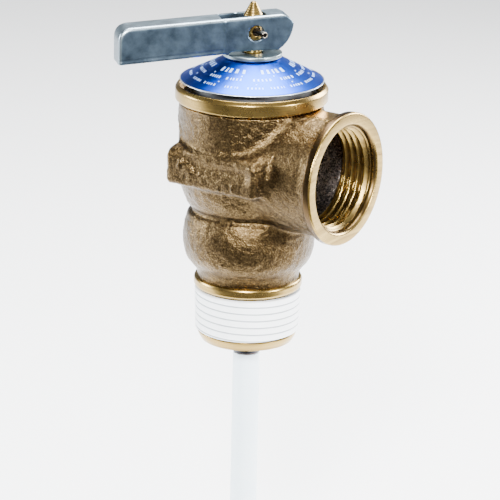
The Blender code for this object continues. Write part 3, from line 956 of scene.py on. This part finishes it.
def lever_outline():
    """The cheek: an involute cam behind the pin, a straight foot, and a sloping rear."""
    angles = np.radians(np.linspace(80, 30, 16))
    reach = 5.15 + CAM_LIFT * angles
    cam_x = -reach * np.sin(angles) - CAM_LIFT * np.cos(angles)
    cam_z = -reach * np.cos(angles) + CAM_LIFT * np.sin(angles)
    rest = [
        (6.1, -4.45), (6.9, -5.0), (LEVER_TIP + 1, -6.95), (LEVER_TIP + 1, 6.5),
        (-6.0, 6.5), (-6.6, 4.58), (-8.4, 3.68), (-9.5, 2.3),
    ]
    return np.concatenate([np.stack([cam_x, cam_z], -1), rest])


LEVER_OUTLINE = lever_outline()


def pan_distance(x, z):
    """Height over the web, or distance past the tip, rounded where the two meet."""
    return smooth_max(z - WEB_HEIGHT + WEB_DROOP * x, x - LEVER_TIP, 3.3)


def lever_distance(points):
    """Distance from the lever's sheet, in the lever's own frame."""
    x, y, z = points.T
    pan = pan_distance(x, z)
    step = 0.13 * np.clip((x - 7.5) / 0.7, 0, 1)
    foot_line = -4.52 - 0.0686 * x
    scored = 0.07 * np.exp(-(((z - foot_line - 1.0) / 0.22) ** 2)) * (x > 8)
    side = np.abs(y) - LEVER_HALF_WIDTH + step + scored
    solid = smooth_max(side, pan, 0.9)
    solid = smooth_max(solid, outline_distance(x, z, LEVER_OUTLINE), 0.25)
    inner = smooth_max(np.abs(y) - CHANNEL_HALF_WIDTH, pan + LEVER_SHEET, 0.8)
    solid = smooth_max(solid, -inner, 0.15)
    slot = np.maximum(np.maximum(np.abs(y) - CHANNEL_HALF_WIDTH, np.abs(x - 2.9) - 5.6), -z)
    solid = smooth_max(solid, -slot, 0.15)
    hole = np.hypot(x, z) - LEVER_HOLE_R
    return smooth_max(solid, -hole, 0.3)


def to_lever_place(points):
    """Turns points from the lever's own frame to the valve's."""
    x, y, z = np.asarray(points, float).T
    c, s = math.cos(LEVER_HEADING), math.sin(LEVER_HEADING)
    return np.stack([x * c - y * s, x * s + y * c, z + PIN_HEIGHT], -1)


def make_lever():
    points, quads = surface_nets(lever_distance, (-10.2, -4.2, -7.5), (35.1, 4.2, 5.4), 0.26)
    points = settle(lever_distance, points, rounds=4, limit=0.15)
    made = piece(
        "test_lever", to_lever_place(points), quads.tolist(), ZINC, "lever",
        ["lever"], sharp=40,
    )
    x, y, z = points.T
    pan = pan_distance(x, z)
    side = np.abs(y) - LEVER_HALF_WIDTH
    # Painted light: a highlight line along each bend, and a lighter painted top over the web and the
    # tip.
    near = (side > -0.9) & (pan > -0.9)
    edge = near * np.exp(-(((side - pan) / 0.4) ** 2))
    paint(made, "bend", np.maximum(edge, 0.45 * np.clip((pan + 0.3) / 0.2, 0, 1)))


make_lever()

# %% [markdown]
# ## Spindle, pin and washer
# The spindle is turned brass with a cone on top, whose cutter rings are plain to see.
# The pin is a coiled spring pin: a tube with a slit, pushed through the cross hole.

# %% Spindle, pin and washer


def spindle_distance(points):
    """A turned rod whose radius follows its height, with the pin's hole through it."""
    x, y, z = points.T
    heights = np.array([30.9, 31.0, 43.9, 44.1, 83.9, 84.0, 87.2, 87.35])
    radii = np.array([1.4, 1.7, 1.7, 2.2, 2.2, 2.38, 0.70, 0.5])
    rings = 0.014 * np.cos(2 * math.pi * z / 0.55) * (z > 84.1)
    solid = (np.hypot(x, y) - np.interp(z, heights, radii) - rings) * 0.9
    solid = np.maximum(solid, np.maximum(31.0 - z, z - 87.35))
    c, s = math.cos(LEVER_HEADING + PIN_SKEW), math.sin(LEVER_HEADING + PIN_SKEW)
    hole = np.hypot(x * c + y * s, z - PIN_HEIGHT) - 1.1
    return smooth_max(solid, -hole, 0.2)


def part_turned(profile, start, end, steps=40):
    """A closed profile of (r, z) turned from one angle to another, with flat ends."""
    angles = np.linspace(start, end, steps)
    r, z = np.asarray(profile, float).T
    x = r[:, None] * np.cos(angles)
    y = r[:, None] * np.sin(angles)
    points = np.stack([x, y, np.broadcast_to(z[:, None], x.shape)], -1).reshape(-1, 3)
    index = np.arange(len(points)).reshape(len(r), steps)
    faces = grid_faces(np.concatenate([index, index[:1]], 0))
    return points, faces + [index[::-1, 0].tolist(), index[:, -1].tolist()]


def make_spindle():
    points, quads = surface_nets(spindle_distance, (-2.7, -2.7, 30.6), (2.7, 2.7, 87.7), 0.2)
    points = settle(spindle_distance, points, rounds=3, limit=0.1)
    piece(
        "lift_spindle", points, quads.tolist(), TURNED_BRASS, "spindle_group",
        ["spindle"], sharp=45,
    )


def make_pin():
    """The split pin, turned about Z, laid across the lever and skewed in its loose holes."""
    profile = softened([(0.45, -6.2), (0.8, -6.2), (0.8, 6.2), (0.45, 6.2)], 0.18)
    points, faces = part_turned(profile, 0.35, 2 * math.pi - 0.35)
    x, y, z = points.T
    c, s = math.cos(PIN_SKEW), math.sin(PIN_SKEW)
    points = to_lever_place(np.stack([x * c - z * s, x * s + z * c, y], -1))
    piece(
        "split_pin", points, faces, PIN_STEEL, "spindle_group", ["lever_pin"],
        sharp=40,
    )


PIN_STEEL = sheet_metal("pin_steel", (0.10, 0.09, 0.075), (0.26, 0.23, 0.19))
make_spindle()
make_pin()

washer_profile = softened([(2.9, 73.7), (7.35, 73.7), (7.35, 74.7), (2.9, 74.7)], 0.22)
points, faces = revolved(washer_profile, 96)
piece("bearing_washer", points, faces, WASHER_ZINC, "washer", ["lever_washer"])

# %% [markdown]
# ## Name plate
# The plate is a thin aluminium cone, anodised blue, with its rim rolled down. Where a
# real plate carries lettering, this one carries plain blocks and dots in three rings.
# The blocks stand a few hundredths of a millimetre proud, like a thick pale ink.

# %% Name plate and its blocks
PLATE_FLAT_R = 7.0
PLATE_FLAT_Z = 73.4
PLATE_EDGE_R = 17.14
PLATE_EDGE_Z = 68.14


def plate_height(r):
    """Height of the plate's upper face at a radius on its cone."""
    fall = (PLATE_FLAT_Z - PLATE_EDGE_Z) / (PLATE_EDGE_R - PLATE_FLAT_R)
    return PLATE_FLAT_Z - fall * (r - PLATE_FLAT_R)


def make_plate():
    profile = softened([
        (2.8, PLATE_FLAT_Z), (PLATE_FLAT_R, PLATE_FLAT_Z), (17.5, 67.96),
        (17.98, 67.88), (17.98, 67.70), (17.6, 67.68), (17.0, 67.72),
        (PLATE_FLAT_R - 0.1, PLATE_FLAT_Z - 0.5), (2.8, PLATE_FLAT_Z - 0.5),
    ], 0.14)
    points, faces = revolved(profile, 192)
    made = piece("cone_plate", points, faces, BLUE, "valve", ["name_plate"])
    r = np.hypot(points[:, 0], points[:, 1])
    paint(made, "bare", np.clip((r - 17.62) / 0.15, 0, 1))


def ring_of_blocks(seed, count, low_r, high_r, share):
    """Bars round a ring, with a gap after each one and a wider one after each group."""
    rng = np.random.default_rng(seed)
    widths = rng.uniform(0.5, 1.2, count)
    ends = np.cumsum(widths) / widths.sum() * 2 * math.pi
    starts = np.concatenate([[0], ends[:-1]])
    keep = np.arange(count) % 7 > 1
    pairs = np.stack([starts, ends], -1)[keep]
    return [(low_r, high_r, a, a + (b - a) * share) for a, b in pairs]


def make_blocks():
    """Tiles on the cone: radius from low to high, angle from start to end, 2 levels."""
    tiles = ring_of_blocks(1, 42, 9.3, 10.6, 0.42)
    tiles += ring_of_blocks(2, 84, 12.2, 12.95, 0.40)
    tiles += ring_of_blocks(3, 112, 14.9, 15.5, 0.38)
    spots = np.arange(9) * 2 * math.pi / 9 + 0.2
    tiles += [(11.3, 11.62, a, a + 0.03) for a in spots]
    tiles += [(13.85, 14.15, a + 0.3, a + 0.322) for a in spots]
    tiles = np.array(tiles)
    t = np.linspace(0, 1, 5)
    angle = tiles[:, 2, None] + (tiles[:, 3] - tiles[:, 2])[:, None] * t
    radius = tiles[:, :2]
    level = np.array([0.045, -0.08])
    a = angle[:, None, None, :]
    r = radius[:, None, :, None]
    z = plate_height(r) + level[None, :, None, None]
    x, y, z = np.broadcast_arrays(r * np.cos(a), r * np.sin(a), z)
    points = np.stack([x, y, z], -1).reshape(-1, 3)
    index = np.arange(len(points)).reshape(len(tiles), 2, 2, 5)
    faces = []
    for tile in index:
        band = np.concatenate([tile[0], tile[1, ::-1]], 0)
        faces += grid_faces(np.concatenate([band, band[:1]], 0))
        faces += [band[::-1, 0].tolist(), band[:, -1].tolist()]
    piece("plate_blocks", points, faces, PRINT, "valve")


with_paint(BLUE, "bare", (0.62, 0.68, 0.74))
make_plate()
make_blocks()

# %% [markdown]
# ## Bonnet, spring and the thermostat probe
# These pieces are turned, drawn or coiled. The spring is a wire along a helix whose pitch closes up
# at both ends; on the real valve it is squashed as the spindle lifts.

# %% Bonnet and probe


def turned_piece(name, profile, soften, material, body, node, steps=96):
    points, faces = revolved(softened(profile, soften), steps)
    piece(name, points, faces, material, body, [node])


# The bonnet's near-black colour is painted shade for the gap under the plate's rim.
turned_piece("bonnet", [
    (8.4, 71.8), (14.4, 68.2), (15.2, 64.0), (16.7, 64.0), (16.7, 62.4), (13.9, 62.4),
    (13.2, 67.3), (8.6, 70.4), (3.9, 70.4), (3.9, 71.8),
], 0.5, BONNET_SHADE, "valve", "bonnet_plate")
turned_piece("probe_coat", [
    (2.8, -4.0), (3.38, -4.0), (3.42, -6.0), (3.42, -98.5), (2.8, -101.0),
    (1.2, -101.6), (0.02, -101.6), (0.02, -100.9), (2.8, -100.0),
], 0.5, COATING, "valve", "probe_coating", 64)
# The ferrule's near-black colour is painted shade under the inlet.
turned_piece("ferrule", [(2.8, -3.7), (3.5, -3.7), (3.5, 1.0), (2.8, 1.0)], 0.2, FERRULE_SHADE,
             "valve", "probe_ferrule", 64)

# %% Spring
SPRING_LOW = 43.2
SPRING_HIGH = 68.9
SPRING_R = 7.0
WIRE_R = 1.15


def make_spring():
    """A wire of radius WIRE_R round a helix, with closed ends and dished caps.

    The helix's height eases from rest at each end, so the end coils lie nearly flat.
    """
    count, around = 420, 14
    t = np.linspace(0, 1, count)
    turns = 6.5
    rate = np.clip(np.minimum(t, 1 - t) / 0.14, 0.36, 1.0)
    height = np.cumsum(rate)
    height = (height - height[0]) / (height[-1] - height[0])
    angle = 2 * math.pi * turns * t
    centre = np.stack([
        SPRING_R * np.cos(angle), SPRING_R * np.sin(angle),
        SPRING_LOW + (SPRING_HIGH - SPRING_LOW) * height,
    ], -1)
    out = np.stack([np.cos(angle), np.sin(angle), 0 * angle], -1)
    ahead = np.gradient(centre, axis=0)
    ahead /= np.linalg.norm(ahead, axis=1, keepdims=True)
    up = np.cross(ahead, out)
    ring = np.arange(around) * 2 * math.pi / around
    end = np.minimum(np.arange(count), np.arange(count)[::-1])
    wire = WIRE_R * np.sqrt(1 - (1 - np.clip(end / 3.0, 0, 1)) ** 2)
    offset = np.cos(ring)[None, :, None] * out[:, None] + np.sin(ring)[None, :, None] * up[:, None]
    points = (centre[:, None] + wire[:, None, None] * offset).reshape(-1, 3)
    index = np.arange(count * around).reshape(count, around)
    index[0] = index[0, 0]
    index[-1] = index[-1, 0]
    faces = grid_faces(np.concatenate([index, index[:, :1]], 1))
    used = np.unique(np.concatenate([np.ravel(f) for f in faces]))
    renumber = np.zeros(len(points), int)
    renumber[used] = np.arange(len(used))
    faces = [renumber[f].tolist() for f in faces]
    made = piece(
        "coil_spring", points[used], faces, STEEL, "valve", ["main_spring"],
        sharp=60,
    )
    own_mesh(made)


make_spring()

# %% [markdown]
# ## Pieces that keep their packed surface
# Twelve pieces lie inside the valve. They are plain turned, drawn or moulded shapes on
# the real one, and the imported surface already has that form, so they get a finish alone.

# %% Finishes for the pieces that keep their packed surface
NODE_FINISHES = {
    "thermostat_bracket": TURNED_BRASS, "probe_tube": COPPER, "wax_charge": WAX,
    "wax_seal_plug": RUBBER, "push_rod": STEEL, "rod_guide_bush": TURNED_BRASS,
    "seat_disc": SILICONE, "disc_retainer": STEEL, "disc_nut": TURNED_BRASS,
    "disc_holder": TURNED_BRASS, "bonnet_gasket": RUBBER, "spindle_bush": TURNED_BRASS,
}
for node_name, finish in NODE_FINISHES.items():
    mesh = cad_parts[node_name].data
    mesh.materials.clear()
    mesh.materials.append(finish)
print(len(NODE_FINISHES), "packed surfaces given finishes")

# %% [markdown]
# ## The studio
# The valve hangs just clear of one pale sheet, because on a heater the probe hangs free.

# %% Studio floor
FLOOR_DROP = 4.0


def make_floor():
    """A pale sheet under the valve that sweeps up far behind it."""
    run = np.linspace(-2.5, 2.5, 60)
    base = cad_low.z - FLOOR_DROP * MM
    plane = bpy.data.meshes.new("floor")
    away = np.linspace(-2.2, 4.0, 80)
    rise = np.where(away > 1.6, (away - 1.6) ** 2 * 0.55, 0)
    grid = run[:, None] * np.array(SCREEN_RIGHT)
    points = grid[:, None] - away[None, :, None] * np.array(SCREEN_NEAR)
    points[..., 2] = base + rise[None]
    index = np.arange(len(run) * len(away)).reshape(len(run), len(away))
    plane.from_pydata(points.reshape(-1, 3).tolist(), [], grid_faces(index))
    plane.shade_smooth()
    material, tree, shader, vector = new_finish("floor_paint", 0.0, 0.85)
    shader.inputs["Base Color"].default_value = (0.93, 0.94, 0.95, 1)
    plane.materials.append(material)
    floor = bpy.data.objects.new("floor", plane)
    bpy.context.scene.collection.objects.link(floor)


make_floor()

# %% [markdown]
# Metal shows what stands round it. In a studio, black card is laid in front of bright
# metal, so that flat faces turned to the camera stay deep in tone and only the curved
# ones pick up the lamps. This card is seen in reflections alone, so the floor stays
# plain and pale from every side.

# %% Black card


def make_card():
    """A flat rectangle of matt black card just over the floor, seen only in reflections."""
    right = np.array([-900.0, 800.0, 800.0, -900.0]) * MM
    near = np.array([90.0, 90.0, 900.0, 900.0]) * MM
    corners = right[:, None] * np.array(SCREEN_RIGHT) + near[:, None] * np.array(SCREEN_NEAR)
    corners[:, 2] = cad_low.z - (FLOOR_DROP - 1.0) * MM
    sheet = bpy.data.meshes.new("black_card")
    sheet.from_pydata(corners.tolist(), [], [[0, 3, 2, 1]])
    material, tree, shader, vector = new_finish("card_paper", 0.0, 0.9)
    grain = noise(tree, vector, 60.0)
    tree.links.new(
        ramp(tree, grain, [(0.3, (0.020, 0.020, 0.020)), (0.7, (0.035, 0.035, 0.035))]),
        shader.inputs["Base Color"],
    )
    sheet.materials.append(material)
    card = bpy.data.objects.new("black_card", sheet)
    bpy.context.scene.collection.objects.link(card)
    card.visible_camera = False
    card.visible_shadow = False
    card.visible_diffuse = False


make_card()
